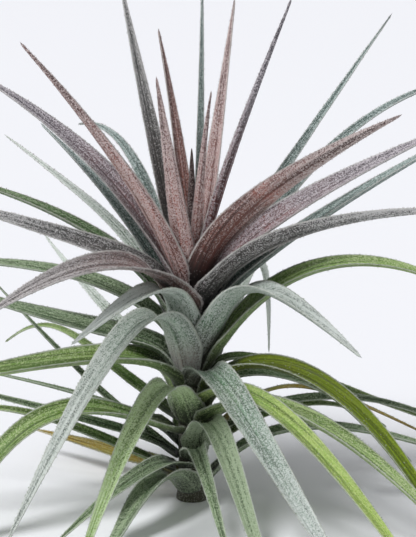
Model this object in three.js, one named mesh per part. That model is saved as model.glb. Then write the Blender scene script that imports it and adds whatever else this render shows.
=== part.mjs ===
// A stemmed air plant: one upright stem, wrapped by the clasping feet of
// about sixty long, channelled leaves that rise, arch over and taper to a point.
// Millimetres, +Z up, origin at the centre of the stem's flat foot.
// Azimuths turn counter-clockwise from +X, so 270 points at the viewer.

import * as THREE from "three";

// Stem
const STEM_HEIGHT = 98;
const STEM_RADIUS = 6;
const FOOT_FLARE = 1.2;
const FOOT_FLARE_HEIGHT = 4;
const STEM_SIDES = 24;
const STEM_RINGS = 12;
const FLARE_RINGS = 4;

// What all leaves share
const SEAT_GAP = 0.3;
const CLASP_ANGLE = 54;
const CLASP_SPREAD = 1.2;
const CLASP_SHARE = 0.6;
const CLASP_SHORTEST = 9;
const CLASP_LONGEST = 22;
const CLASP_THICKNESS = 0.7;
const RIB_THICKNESS = 1.1;
const TIP_THICKNESS = 0.8;
const MARGIN_THICKNESS = 0.65;
const TIP_WIDTH = 1;
const TAPER = 0.8;
const CHANNEL_ANGLE = 52;
const ROLLED_TIP_ANGLE = 66;
const ROLLED_BY = 0.4;
const LANDING_RADIUS = 30;
const PATH_STEPS = 120;
const LEAF_RINGS = 13;
const RING_CROWDING = 1.35;
const ACROSS = 4;

// The youngest leaf, still rolled into a spear on the stem's tip: slim at its foot, fullest
// at the share of its length where the swell ends
const SPEAR_LENGTH = 54;
const SPEAR_RADIUS = 3;
const SPEAR_FOOT_SHARE = 0.45;
const SPEAR_SWELL = 0.4;

// One row for each leaf, from the heart down to the foot:
// name, height of its foot on the stem, azimuth, sideways turn from foot to tip, length, width,
// rise at the foot, droop it settles to, bend (share of the length where half the fold is done),
// crispness of the fold, roll of the blade about its own length, full at ROLLED_BY of the length.
const LEAVES = [
  ["heart_leaf_01", 97, 288, 36, 81, 7, 82, 80, 0.42, 2.2, -38],
  ["heart_leaf_02", 97, 125, -1, 106, 11, 84, 68, 0.54, 2.3, 1],
  ["heart_leaf_03", 95, 335, -11, 127, 9, 78, 63, 0.38, 1.6, -19],
  ["heart_leaf_04", 93, 242, -2, 94, 13, 74, 75, 0.28, 2.1, 21],
  ["heart_leaf_05", 93, 54, 6, 123, 13, 75, 77, 0.28, 1.1, -1],
  ["heart_leaf_06", 91, 141, -18, 139, 15, 73, 70, 0.66, 4.1, -2],
  ["heart_leaf_07", 89.5, 81, 2, 143, 6, 69, 85, 0.32, 3.8, 12],
  ["crown_leaf_01", 88, 207, -5, 130, 20, 74, 43, 0.38, 1.3, 10],
  ["crown_leaf_02", 90, 312, -1, 143, 19, 76, 20, 0.2, 1.4, -46],
  ["crown_leaf_03", 85.5, 41, -2, 165, 8, 64, 45, 0.04, 2.1, 31],
  ["crown_leaf_04", 80.5, 136, -15, 124, 10, 69, -40, 0.76, 3.8, -46],
  ["crown_leaf_05", 87.5, 355, -3, 130, 22, 69, 22, 0.18, 1.3, 33],
  ["crown_leaf_06", 85.5, 171, -9, 137, 20, 73, 2, 0.66, 1.3, -28],
  ["crown_leaf_07", 80.5, 14, 11, 177, 10, 55, -76, 1.1, 2.6, 26],
  ["crown_leaf_08", 78, 148, 7, 108, 13, 69, 30, 0.38, 1.2, -18],
  ["crown_leaf_09", 83, 325, -2, 149, 20, 62, -9, 0.34, 1.2, -22],
  ["crown_leaf_10", 75, 241, 1, 154, 24, 71, -32, 0.34, 1.2, -24],
  ["crown_leaf_11", 78, 7, 4, 145, 20, 57, 23, 0.2, 1.1, 4],
  ["crown_leaf_12", 83, 192, -7, 124, 15, 68, 18, 0.14, 2.7, -45],
  ["crown_leaf_13", 70, 146, -2, 131, 8, 60, 26, 0.36, 4.4, -59],
  ["crown_leaf_14", 72.5, 170, 4, 132, 16, 67, -3, 0.42, 1.4, -11],
  ["middle_leaf_01", 51, 56, 29, 135, 9, 41, -84, 0.58, 7, 1],
  ["middle_leaf_02", 67, 250, -6, 118, 19, 67, -11, 0.3, 3.2, -7],
  ["middle_leaf_03", 62, 168, 6, 130, 15, 81, -20, 0.24, 1.1, -22],
  ["middle_leaf_04", 64, 325, -8, 100, 26, 61, -26, 0.4, 6.1, -2],
  ["middle_leaf_05", 56.5, 359, -10, 135, 23, 59, -81, 0.74, 2.1, 13],
  ["middle_leaf_06", 55.5, 244, -1, 171, 20, 71, -40, 0.24, 2.8, 0],
  ["middle_leaf_07", 52.5, 175, -20, 119, 20, 66, 11, 0.12, 4.6, -18],
  ["middle_leaf_08", 53.5, 25, -1, 140, 7, 48, -25, 0.08, 2.5, 65],
  ["middle_leaf_09", 49.5, 197, -2, 138, 26, 65, -11, 0.1, 1.5, -9],
  ["middle_leaf_10", 47, 137, -13, 116, 9, 62, 26, 0.04, 5.1, -48],
  ["middle_leaf_11", 51.5, 290, 8, 165, 18, 66, -30, 0.08, 1.5, 25],
  ["lower_leaf_01", 45.5, 335, -21, 164, 20, 61, -80, 0.28, 1.3, 6],
  ["lower_leaf_02", 42, 5, -7, 108, 7, 76, -73, 0.24, 1.1, 32],
  ["lower_leaf_03", 34, 143, -5, 119, 7, 25, -44, 0.74, 7, -54],
  ["lower_leaf_04", 24.5, 19, 8, 174, 6, 37, -78, 0.56, 1.1, 46],
  ["lower_leaf_05", 38, 309, -3, 170, 15, 72, -45, 0.14, 1.3, 9],
  ["lower_leaf_06", 34.5, 254, -11, 145, 16, 58, -54, 0.3, 2.4, -17],
  ["lower_leaf_07", 26, 25, -6, 131, 6, 37, -30, 0.3, 3.8, -26],
  ["lower_leaf_08", 31, 323, -9, 165, 21, 60, -51, 0.22, 1.2, -7],
  ["lower_leaf_09", 30, 212, -11, 178, 18, 25, -76, 0.4, 3.9, -21],
  ["lower_leaf_10", 24, 165, 3, 101, 7, 51, 4, 0.12, 1.1, 0],
  ["lower_leaf_11", 23, 21, 3, 95, 6, 25, -85, 0.86, 2.2, 46],
  ["lower_leaf_12", 21.5, 289, 7, 125, 15, 65, -48, 0.2, 3.6, 16],
  ["lower_leaf_13", 17, 149, 7, 119, 6, 28, 44, 0.46, 2.3, -21],
  ["lower_leaf_14", 19, 181, -16, 119, 6, 40, 7, 0.12, 1.1, -65],
  ["lower_leaf_15", 7, 356, -4, 134, 13, 52, -27, 0.32, 2, 6],
  ["lower_leaf_16", 12.5, 207, -10, 122, 9, 30, -36, 0.9, 4.2, -32],
  ["lower_leaf_17", 7, 142, 1, 89, 13, 31, 1, 0.04, 1.7, -27],
  ["lower_leaf_18", 15, 239, -15, 86, 12, 41, -45, 0.32, 1.1, -23],
  ["lower_leaf_19", 18.5, 275, 13, 99, 11, 56, -66, 0.32, 1.2, 38],
  ["lower_leaf_20", 4, 244, -6, 84, 21, 56, -52, 0.3, 1.9, 12],
  ["back_leaf_01", 75.5, 95, -1, 122, 6, 68, 6, 0.28, 1.8, -1],
  ["back_leaf_02", 59, 89, -1, 135, 13, 71, -33, 0.38, 2.5, -4],
  ["back_leaf_03", 55.5, 113, 0, 122, 10, 71, -51, 0.34, 2.1, 0],
  ["back_leaf_04", 44.5, 95, 0, 129, 8, 62, -58, 0.28, 1.4, -1],
  ["back_leaf_05", 27.5, 76, 0, 121, 10, 50, -59, 0.28, 1.5, 0],
  ["back_leaf_06", 20, 101, 6, 118, 12, 48, -26, 0.3, 1.6, -1],
];

const TONES = {
  heart: "#7c5f5a",
  crown: "#87807a",
  middle: "#7e9078",
  lower: "#6f8750",
  back: "#78895f",
};
const STEM_TONE = "#6b5a45";

const radians = THREE.MathUtils.degToRad;
const mix = THREE.MathUtils.lerp;
const ease = THREE.MathUtils.smoothstep;

// The stem keeps its girth to two thirds of its height, then rounds off to the growing point.
function stemRadius(z) {
  const share = Math.min(z / STEM_HEIGHT, 1);
  return STEM_RADIUS * Math.sqrt(1 - share ** 4) + FOOT_FLARE * Math.exp(-((z / FOOT_FLARE_HEIGHT) ** 2));
}

// The leaf's path: it leaves the stem at its rise and relaxes towards its droop,
// and where it would meet the ground it lands in a round sweep and lies along it.
function leafPath(leaf) {
  const start = stemRadius(leaf.height) + SEAT_GAP + CLASP_THICKNESS / 2;
  const step = leaf.length / PATH_STEPS;
  const rest = RIB_THICKNESS / 2 + 0.02;
  const first = radians(leaf.azimuth);
  const point = new THREE.Vector3(start * Math.cos(first), start * Math.sin(first), leaf.height);
  const stations = [];
  for (let i = 0; i <= PATH_STEPS; i += 1) {
    const t = i / PATH_STEPS;
    const relaxed = 1 / (1 + (t / leaf.bend) ** leaf.crisp);
    const free = radians(mix(leaf.droop, leaf.rise, relaxed));
    const lowest = -Math.sqrt((2 * Math.max(point.z - rest, 0)) / LANDING_RADIUS);
    const slope = Math.max(free, lowest);
    const heading = radians(leaf.azimuth + leaf.turn * t);
    stations.push({ t, slope, heading, point: point.clone() });
    point.x += step * Math.cos(slope) * Math.cos(heading);
    point.y += step * Math.cos(slope) * Math.sin(heading);
    point.z += step * Math.sin(slope);
  }
  return stations;
}

// The leaf's section at a station: its width along the arc, half the arc's angle, and the rib's thickness.
// Near the foot the arc is centred on the stem, so that the feet nest in each other.
function leafSection(leaf, { t, point }) {
  const claspLength = THREE.MathUtils.clamp(
    CLASP_SHARE * leaf.bend * leaf.length,
    CLASP_SHORTEST,
    CLASP_LONGEST,
  );
  const clasp = 1 - ease(t * leaf.length, 0.3 * claspLength, claspLength);
  const reach = Math.hypot(point.x, point.y);
  const claspHalf = Math.min(radians(CLASP_ANGLE), (CLASP_SPREAD * leaf.width) / (2 * reach));
  const bladeHalf = radians(mix(CHANNEL_ANGLE, ROLLED_TIP_ANGLE, ease(t, 0.5, 1)));
  const bladeWidth = TIP_WIDTH + (leaf.width - TIP_WIDTH) * (1 - t) ** TAPER;
  return {
    width: mix(bladeWidth, 2 * reach * claspHalf, clasp),
    half: mix(bladeHalf, claspHalf, clasp),
    rib: mix(mix(RIB_THICKNESS, TIP_THICKNESS, t), CLASP_THICKNESS, clasp),
  };
}

// One ring of points round the leaf at a station: across its inner face, then back across its outer face.
function leafRing(leaf, station) {
  const { t, slope, heading, point } = station;
  const { width, half, rib } = leafSection(leaf, station);
  const radius = width / (2 * half);
  const side = new THREE.Vector3(-Math.sin(heading), Math.cos(heading), 0);
  const inner = new THREE.Vector3(
    -Math.sin(slope) * Math.cos(heading),
    -Math.sin(slope) * Math.sin(heading),
    Math.cos(slope),
  );
  const along = side.clone().cross(inner);
  const roll = radians(leaf.roll) * ease(t, 0, ROLLED_BY);
  side.applyAxisAngle(along, roll);
  inner.applyAxisAngle(along, roll);
  const top = [];
  const under = [];
  for (let k = 0; k <= ACROSS; k += 1) {
    const u = (2 * k) / ACROSS - 1;
    const angle = u * half;
    const middle = point.clone();
    middle.addScaledVector(inner, radius * (1 - Math.cos(angle)));
    middle.addScaledVector(side, radius * Math.sin(angle));
    const normal = new THREE.Vector3();
    normal.addScaledVector(inner, Math.cos(angle));
    normal.addScaledVector(side, -Math.sin(angle));
    const thickness = mix(rib, MARGIN_THICKNESS, u * u);
    top.push(middle.clone().addScaledVector(normal, thickness / 2));
    under.push(middle.clone().addScaledVector(normal, -thickness / 2));
  }
  return [...top, ...under.reverse()];
}

// Rings joined into one closed skin, with both faces of the blade split alike.
function skin(rings) {
  const around = rings[0].length;
  const half = around / 2;
  const positions = rings.flat().flatMap((p) => [p.x, p.y, p.z]);
  const faces = [];
  for (let r = 0; r + 1 < rings.length; r += 1) {
    for (let k = 0; k < around; k += 1) {
      const next = (k + 1) % around;
      const a = r * around + k;
      const b = r * around + next;
      const c = (r + 1) * around + next;
      const d = (r + 1) * around + k;
      if (k < half) faces.push(a, c, b, a, d, c);
      else faces.push(a, d, b, b, d, c);
    }
  }
  const last = (rings.length - 1) * around;
  for (let k = 0; k + 1 < half; k += 1) {
    const m = around - 1 - k;
    faces.push(k, m - 1, m, k, k + 1, m - 1);
    faces.push(last + k, last + m, last + m - 1, last + k, last + m - 1, last + k + 1);
  }
  const geometry = new THREE.BufferGeometry();
  geometry.setAttribute("position", new THREE.Float32BufferAttribute(positions, 3));
  geometry.setIndex(faces);
  geometry.computeVertexNormals();
  return geometry;
}

function leafGeometry(leaf) {
  const stations = leafPath(leaf);
  const rings = [];
  for (let r = 0; r <= LEAF_RINGS; r += 1) {
    const share = (r / LEAF_RINGS) ** RING_CROWDING;
    rings.push(leafRing(leaf, stations[Math.round(share * PATH_STEPS)]));
  }
  return skin(rings);
}

function stemGeometry() {
  const profile = [new THREE.Vector2(0, 0)];
  for (let r = 0; r < FLARE_RINGS; r += 1) {
    const z = (2 * FOOT_FLARE_HEIGHT * r) / FLARE_RINGS;
    profile.push(new THREE.Vector2(stemRadius(z), z));
  }
  for (let r = 1; r < STEM_RINGS; r += 1) {
    const z = STEM_HEIGHT * Math.sin((Math.PI / 2) * (r / STEM_RINGS));
    profile.push(new THREE.Vector2(stemRadius(z), z));
  }
  profile.push(new THREE.Vector2(0, STEM_HEIGHT));
  const geometry = new THREE.LatheGeometry(profile, STEM_SIDES);
  geometry.rotateX(Math.PI / 2);
  return geometry;
}

function spearGeometry() {
  const profile = [new THREE.Vector2(0, 0)];
  for (const t of [0, 0.15, 0.3, 0.45, 0.7, 0.9]) {
    const swell = mix(SPEAR_FOOT_SHARE, 1, ease(t, 0, SPEAR_SWELL));
    profile.push(new THREE.Vector2(SPEAR_RADIUS * swell * (1 - t) ** 0.6, SPEAR_LENGTH * t));
  }
  profile.push(new THREE.Vector2(0, SPEAR_LENGTH));
  const geometry = new THREE.LatheGeometry(profile, 12);
  geometry.rotateX(Math.PI / 2);
  geometry.translate(0, 0, STEM_HEIGHT + SEAT_GAP);
  return geometry;
}

function named(name, geometry, tone, roughness) {
  const material = new THREE.MeshStandardMaterial({ color: tone, roughness, metalness: 0 });
  const mesh = new THREE.Mesh(geometry, material);
  mesh.name = name;
  return mesh;
}

const plant = new THREE.Group();
plant.add(named("stem", stemGeometry(), STEM_TONE, 0.85));
plant.add(named("heart_spear", spearGeometry(), TONES.heart, 0.7));
for (const row of LEAVES) {
  const [name, height, azimuth, turn, length, width, rise, droop, bend, crisp, roll] = row;
  const leaf = { height, azimuth, turn, length, width, rise, droop, bend, crisp, roll };
  const zone = name.split("_")[0];
  plant.add(named(name, leafGeometry(leaf), TONES[zone], 0.7));
}

export default plant;
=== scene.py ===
# %% [markdown]
# An air plant on a leafy stem
#
# The plant is one short upright stem, wrapped by the feet of about sixty long, channelled leaves.
# Each leaf clasps the stem, rises, arches over and tapers to a point. The tissue is brown-red in
# the heart and green below, and a felt of tiny silver scales lies over all of it. The scales catch
# water from the air, and they give the plant its grey, velvety look.
#
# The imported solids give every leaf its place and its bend. This script keeps them as the frame,
# and dresses each one with a finer skin that follows the same growth rule.

import math

import bpy
from mathutils import Matrix, Vector


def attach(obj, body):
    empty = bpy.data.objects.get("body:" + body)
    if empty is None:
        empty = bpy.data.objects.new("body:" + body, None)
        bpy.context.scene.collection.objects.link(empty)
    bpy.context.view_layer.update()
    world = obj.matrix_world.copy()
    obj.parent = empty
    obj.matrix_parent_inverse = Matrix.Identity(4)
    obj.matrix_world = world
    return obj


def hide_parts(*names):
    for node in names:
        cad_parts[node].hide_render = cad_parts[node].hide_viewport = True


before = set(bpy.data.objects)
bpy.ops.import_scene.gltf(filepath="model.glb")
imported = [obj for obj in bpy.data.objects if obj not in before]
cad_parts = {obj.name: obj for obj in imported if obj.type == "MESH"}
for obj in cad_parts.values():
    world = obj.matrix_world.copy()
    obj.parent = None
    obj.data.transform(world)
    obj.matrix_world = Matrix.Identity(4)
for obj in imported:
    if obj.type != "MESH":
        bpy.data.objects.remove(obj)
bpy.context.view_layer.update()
print("nodes in the frame:", len(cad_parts))

# %% [markdown]
# Everything is written in millimetres, as a gardener would measure it, and Blender works in metres.
# Colours are written as the hex values that a colour picker shows, and the shaders want linear light.

# %% Units and colours
MM = 0.001


def linear(code):
    """The linear colour of an sRGB hex value such as '#8fa383'."""
    channels = [int(code[i : i + 2], 16) / 255 for i in (1, 3, 5)]
    return [c / 12.92 if c <= 0.04045 else ((c + 0.055) / 1.055) ** 2.4 for c in channels] + [1.0]


def add(tree, kind, values=(), **settings):
    """Adds a node with its settings, sets or links its inputs, and returns its outputs."""
    node = tree.nodes.new(kind)
    for name, value in settings.items():
        setattr(node, name, value)
    for name, value in values.items() if isinstance(values, dict) else enumerate(values):
        if isinstance(value, bpy.types.NodeSocket):
            tree.links.new(value, node.inputs[name])
        else:
            node.inputs[name].default_value = value
    return node.outputs


print("linear of mid grey:", [round(c, 3) for c in linear("#808080")])

# %% [markdown]
# One row describes one leaf, from the heart down to the foot: the height of its foot on the stem,
# its azimuth, a sideways turn from foot to tip, its length and width, its rise at the foot, the
# droop it settles to, the share of the length where half of the fold is done, how crisp the fold
# is, and how far the blade rolls about its own length. The word is the finish that it wears, and the
# last number says how much denser its felt is than is usual for that finish. The measures were found
# by a search program, which fitted the growth rule below to readings of the leaves, and were then
# rounded. The finishes and the felt were set one by one.

# %% The leaves, one row each, in millimetres and degrees
LEAVES = [
    ("heart_leaf_01", 97, 288, 36, 81, 7, 82, 80, 0.42, 2.2, -38, "rose", 0.05),
    ("heart_leaf_02", 97, 125, -1, 106, 11, 84, 68, 0.54, 2.3, 1, "russet", 0),
    ("heart_leaf_03", 95, 335, -11, 127, 9, 78, 63, 0.38, 1.6, -19, "mauve", 0),
    ("heart_leaf_04", 93, 242, -2, 94, 13, 74, 75, 0.28, 2.1, 21, "rose", 0.08),
    ("heart_leaf_05", 93, 54, 6, 123, 13, 75, 77, 0.28, 1.1, -1, "rose", 0.1),
    ("heart_leaf_06", 91, 141, -18, 139, 15, 73, 70, 0.66, 4.1, -2, "ash", -0.17),
    ("heart_leaf_07", 89.5, 81, 2, 143, 6, 69, 85, 0.32, 3.8, 12, "sea", 0),
    ("crown_leaf_01", 88, 207, -5, 130, 20, 74, 43, 0.38, 1.3, 10, "rose", -0.02),
    ("crown_leaf_02", 90, 312, -1, 143, 19, 76, 20, 0.2, 1.4, -46, "rosewood", 0),
    ("crown_leaf_03", 85.5, 41, -2, 165, 8, 64, 45, 0.04, 2.1, 31, "sea", 0),
    ("crown_leaf_04", 80.5, 136, -15, 124, 10, 69, -40, 0.76, 3.8, -46, "sea", 0),
    ("crown_leaf_05", 87.5, 355, -3, 130, 22, 69, 22, 0.18, 1.3, 33, "mauve", 0.04),
    ("crown_leaf_06", 85.5, 171, -9, 137, 20, 73, 2, 0.66, 1.3, -28, "mauve", -0.08),
    ("crown_leaf_07", 80.5, 14, 11, 177, 10, 55, -76, 1.1, 2.6, 26, "sea", 0),
    ("crown_leaf_08", 78, 148, 7, 108, 13, 69, 30, 0.38, 1.2, -18, "sea", 0),
    ("crown_leaf_09", 83, 325, -2, 149, 20, 62, -9, 0.34, 1.2, -22, "ash", 0.05),
    ("crown_leaf_10", 75, 241, 1, 154, 24, 71, -32, 0.34, 1.2, -24, "maroon", 0),
    ("crown_leaf_11", 78, 7, 4, 145, 20, 57, 23, 0.2, 1.1, 4, "sea", -0.08),
    ("crown_leaf_12", 83, 192, -7, 124, 15, 68, 18, 0.14, 2.7, -45, "ash", 0),
    ("crown_leaf_13", 70, 146, -2, 131, 8, 60, 26, 0.36, 4.4, -59, "pale", 0.15),
    ("crown_leaf_14", 72.5, 170, 4, 132, 16, 67, -3, 0.42, 1.4, -11, "moss", -0.12),
    ("middle_leaf_01", 51, 56, 29, 135, 9, 41, -84, 0.58, 7, 1, "pale", 0),
    # middle_leaf_02's extra felt is partly a painted highlight: it lightens the blade where light washes
    # it out
    ("middle_leaf_02", 67, 250, -6, 118, 19, 67, -11, 0.3, 3.2, -7, "sage", 0.25),
    ("middle_leaf_03", 62, 168, 6, 130, 15, 81, -20, 0.24, 1.1, -22, "moss", 0.15),
    ("middle_leaf_04", 64, 325, -8, 100, 26, 61, -26, 0.4, 6.1, -2, "sage", 0.1),
    ("middle_leaf_05", 56.5, 359, -10, 135, 23, 59, -81, 0.74, 2.1, 13, "grass", 0),
    ("middle_leaf_06", 55.5, 244, -1, 171, 20, 71, -40, 0.24, 2.8, 0, "dusted", 0.05),
    ("middle_leaf_07", 52.5, 175, -20, 119, 20, 66, 11, 0.12, 4.6, -18, "moss", 0.05),
    ("middle_leaf_08", 53.5, 25, -1, 140, 7, 48, -25, 0.08, 2.5, 65, "grass", 0),
    ("middle_leaf_09", 49.5, 197, -2, 138, 26, 65, -11, 0.1, 1.5, -9, "grass", 0),
    ("middle_leaf_10", 47, 137, -13, 116, 9, 62, 26, 0.04, 5.1, -48, "pale", 0),
    ("middle_leaf_11", 51.5, 290, 8, 165, 18, 66, -30, 0.08, 1.5, 25, "sage", -0.1),
    ("lower_leaf_01", 45.5, 335, -21, 164, 20, 61, -80, 0.28, 1.3, 6, "olive", 0),
    ("lower_leaf_02", 42, 5, -7, 108, 7, 76, -73, 0.24, 1.1, 32, "moss", 0),
    ("lower_leaf_03", 34, 143, -5, 119, 7, 25, -44, 0.74, 7, -54, "grass", 0),
    ("lower_leaf_04", 24.5, 19, 8, 174, 6, 37, -78, 0.56, 1.1, 46, "moss", 0),
    ("lower_leaf_05", 38, 309, -3, 170, 15, 72, -45, 0.14, 1.3, 9, "lime", 0),
    ("lower_leaf_06", 34.5, 254, -11, 145, 16, 58, -54, 0.3, 2.4, -17, "frost", 0.05),
    ("lower_leaf_07", 26, 25, -6, 131, 6, 37, -30, 0.3, 3.8, -26, "straw", 0),
    ("lower_leaf_08", 31, 323, -9, 165, 21, 60, -51, 0.22, 1.2, -7, "grass", 0.15),
    ("lower_leaf_09", 30, 212, -11, 178, 18, 25, -76, 0.4, 3.9, -21, "grass", 0),
    ("lower_leaf_10", 24, 165, 3, 101, 7, 51, 4, 0.12, 1.1, 0, "moss", 0),
    ("lower_leaf_11", 23, 21, 3, 95, 6, 25, -85, 0.86, 2.2, 46, "grass", 0),
    ("lower_leaf_12", 21.5, 289, 7, 125, 15, 65, -48, 0.2, 3.6, 16, "moss", 0.5),
    ("lower_leaf_13", 17, 149, 7, 119, 6, 28, 44, 0.46, 2.3, -21, "moss", 0),
    ("lower_leaf_14", 19, 181, -16, 119, 6, 40, 7, 0.12, 1.1, -65, "moss", 0),
    ("lower_leaf_15", 7, 356, -4, 134, 13, 52, -27, 0.32, 2, 6, "moss", 0.15),
    ("lower_leaf_16", 12.5, 207, -10, 122, 9, 30, -36, 0.9, 4.2, -32, "grass", 0),
    ("lower_leaf_17", 7, 142, 1, 89, 13, 31, 1, 0.04, 1.7, -27, "straw", 0),
    ("lower_leaf_18", 15, 239, -15, 86, 12, 41, -45, 0.32, 1.1, -23, "moss", 0.1),
    ("lower_leaf_19", 18.5, 275, 13, 99, 11, 56, -66, 0.32, 1.2, 38, "moss", 0.1),
    ("lower_leaf_20", 4, 244, -6, 84, 21, 56, -52, 0.3, 1.9, 12, "moss", 0.15),
    ("back_leaf_01", 75.5, 95, -1, 122, 6, 68, 6, 0.28, 1.8, -1, "ash", 0),
    ("back_leaf_02", 59, 89, -1, 135, 13, 71, -33, 0.38, 2.5, -4, "moss", 0),
    ("back_leaf_03", 55.5, 113, 0, 122, 10, 71, -51, 0.34, 2.1, 0, "sage", 0),
    ("back_leaf_04", 44.5, 95, 0, 129, 8, 62, -58, 0.28, 1.4, -1, "grass", 0),
    ("back_leaf_05", 27.5, 76, 0, 121, 10, 50, -59, 0.28, 1.5, 0, "moss", 0),
    ("back_leaf_06", 20, 101, 6, 118, 12, 48, -26, 0.3, 1.6, -1, "grass", 0),
]
COLUMNS = "name height azimuth turn length width rise droop bend crisp roll finish felt".split()
leaves = [dict(zip(COLUMNS, row)) for row in LEAVES]
print("leaves:", len(leaves), "longest:", max(leaf["length"] for leaf in leaves), "mm")

# %% [markdown]
# The stem is a slim post that keeps its girth to two thirds of its height, then rounds off to the
# growing point. Every leaf starts on it, so its radius at a height is needed first.

# %% Stem measures
STEM_HEIGHT = 98
STEM_RADIUS = 6
FOOT_FLARE = 1.2
FOOT_FLARE_HEIGHT = 4


def stem_radius(z):
    """The stem's radius at height z, in millimetres."""
    share = min(z / STEM_HEIGHT, 1)
    flare = FOOT_FLARE * math.exp(-((z / FOOT_FLARE_HEIGHT) ** 2))
    return STEM_RADIUS * math.sqrt(1 - share**4) + flare


print("stem radius at half height:", round(stem_radius(STEM_HEIGHT / 2), 2), "mm")

# %% [markdown]
# A leaf grows along a path in one upright plane, with a small sideways turn. It leaves the stem at
# its rise and relaxes to its droop, and where it would meet the ground it lands in a round sweep.
# The landing depends on the height reached so far, so the path is summed up step by step in Python.
# It becomes a plain line of points, and each point carries what the blade has there as attributes:
# the direction its channel opens in, the direction across it, its width, the half angle of the
# channel and the thickness of the rib.

# %% The growth rule
SEAT_GAP = 0.3
CLASP_ANGLE = 54
CLASP_SPREAD = 1.2
CLASP_SHARE = 0.6
CLASP_SHORTEST = 9
CLASP_LONGEST = 22
CLASP_WHOLE_SHARE = 0.3
CLASP_THICKNESS = 0.7
RIB_THICKNESS = 1.1
TIP_THICKNESS = 0.8
TIP_WIDTH = 1
TIP_LEAST_WIDTH = 0.1
TAPER = 0.8
CHANNEL_ANGLE = 52
ROLLED_TIP_ANGLE = 66
TIP_ROLLS_FROM = 0.5
ROLLED_BY = 0.4
LANDING_RADIUS = 30
GROUND_GAP = 0.02
PATH_STEPS = 120
STEPS_PER_STATION = 2


def mix(a, b, share):
    """The value a share of the way from a to b."""
    return a + (b - a) * share


def ease(x, low, high):
    """A smooth step from 0 at low to 1 at high."""
    share = min(max((x - low) / (high - low), 0), 1)
    return share * share * (3 - 2 * share)


def leaf_path(leaf):
    """The stations of a leaf: share of the length, slope, heading and point, in millimetres."""
    start = stem_radius(leaf["height"]) + SEAT_GAP + CLASP_THICKNESS / 2
    step = leaf["length"] / PATH_STEPS
    rest = RIB_THICKNESS / 2 + GROUND_GAP
    first = math.radians(leaf["azimuth"])
    x, y, z = start * math.cos(first), start * math.sin(first), leaf["height"]
    stations = []
    for i in range(PATH_STEPS + 1):
        t = i / PATH_STEPS
        relaxed = 1 / (1 + (t / leaf["bend"]) ** leaf["crisp"])
        free = math.radians(mix(leaf["droop"], leaf["rise"], relaxed))
        lowest = -math.sqrt(2 * max(z - rest, 0) / LANDING_RADIUS)
        slope = max(free, lowest)
        heading = math.radians(leaf["azimuth"] + leaf["turn"] * t)
        stations.append((t, slope, heading, (x, y, z)))
        x += step * math.cos(slope) * math.cos(heading)
        y += step * math.cos(slope) * math.sin(heading)
        z += step * math.sin(slope)
    return stations


def leaf_section(leaf, t, point):
    """Width, half angle and rib thickness at a station. Near the foot the arc hugs the stem."""
    clasp_length = min(max(CLASP_SHARE * leaf["bend"] * leaf["length"], CLASP_SHORTEST), CLASP_LONGEST)
    clasp = 1 - ease(t * leaf["length"], CLASP_WHOLE_SHARE * clasp_length, clasp_length)
    reach = math.hypot(point[0], point[1])
    clasp_half = min(math.radians(CLASP_ANGLE), CLASP_SPREAD * leaf["width"] / (2 * reach))
    blade_half = math.radians(mix(CHANNEL_ANGLE, ROLLED_TIP_ANGLE, ease(t, TIP_ROLLS_FROM, 1)))
    blade_width = TIP_WIDTH * (1 - t) + (leaf["width"] - TIP_WIDTH) * (1 - t) ** TAPER + TIP_LEAST_WIDTH
    width = mix(blade_width, 2 * reach * clasp_half, clasp)
    rib = mix(mix(RIB_THICKNESS, TIP_THICKNESS, t), CLASP_THICKNESS, clasp)
    return width, mix(blade_half, clasp_half, clasp), rib


def leaf_frame(leaf, t, slope, heading):
    """The direction the channel opens in and the direction across it, turned by the leaf's roll."""
    ahead = Vector((math.cos(heading), math.sin(heading), 0))
    along = ahead * math.cos(slope) + Vector((0, 0, math.sin(slope)))
    across = Vector((-math.sin(heading), math.cos(heading), 0))
    opening = along.cross(across)
    roll = Matrix.Rotation(math.radians(leaf["roll"]) * ease(t, 0, ROLLED_BY), 3, along)
    return roll @ opening, roll @ across


def path_object(leaf):
    """The leaf's path as a line of points with its measures as attributes, in metres."""
    stations = leaf_path(leaf)[::STEPS_PER_STATION]
    mesh = bpy.data.meshes.new(leaf["name"] + "_path")
    points = [tuple(c * MM for c in point) for _, _, _, point in stations]
    mesh.from_pydata(points, [(i, i + 1) for i in range(len(points) - 1)], [])
    measures = {"along": [], "width": [], "half": [], "rib": []}
    directions = {"opening": [], "sideways": []}
    for t, slope, heading, point in stations:
        width, half, rib = leaf_section(leaf, t, point)
        for name, value in zip(measures, (t, width * MM, half, rib * MM)):
            measures[name].append(value)
        for name, vector in zip(directions, leaf_frame(leaf, t, slope, heading)):
            directions[name].extend(vector)
    for name, numbers in measures.items():
        mesh.attributes.new(name, "FLOAT", "POINT").data.foreach_set("value", numbers)
    for name, numbers in directions.items():
        mesh.attributes.new(name, "FLOAT_VECTOR", "POINT").data.foreach_set("vector", numbers)
    skin = bpy.data.objects.new(leaf["name"] + "_skin", mesh)
    bpy.context.scene.collection.objects.link(skin)
    return skin


tallest = max(max(station[3][2] for station in leaf_path(leaf)) for leaf in leaves)
print("highest leaf tip:", round(tallest, 1), "mm")

# %% [markdown]
# The blade is a grid wrapped round the path. Geometry Nodes suits it, because one rule makes all
# the leaves: each row of the grid is one station of the path, and each column is a place on the
# loop across the upper face and back across the under face. The tree is built in five steps, and
# the first has its named inputs and the grid.

# %% Blade tree: inputs and grid
MATH = "ShaderNodeMath"
VECTOR = "ShaderNodeVectorMath"
JOIN = "ShaderNodeCombineXYZ"
SPREAD = "ShaderNodeMapRange"
UPPER_UP_TO = 1.0001  # a hair past the margin at 1, so that the margin counts as upper


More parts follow.
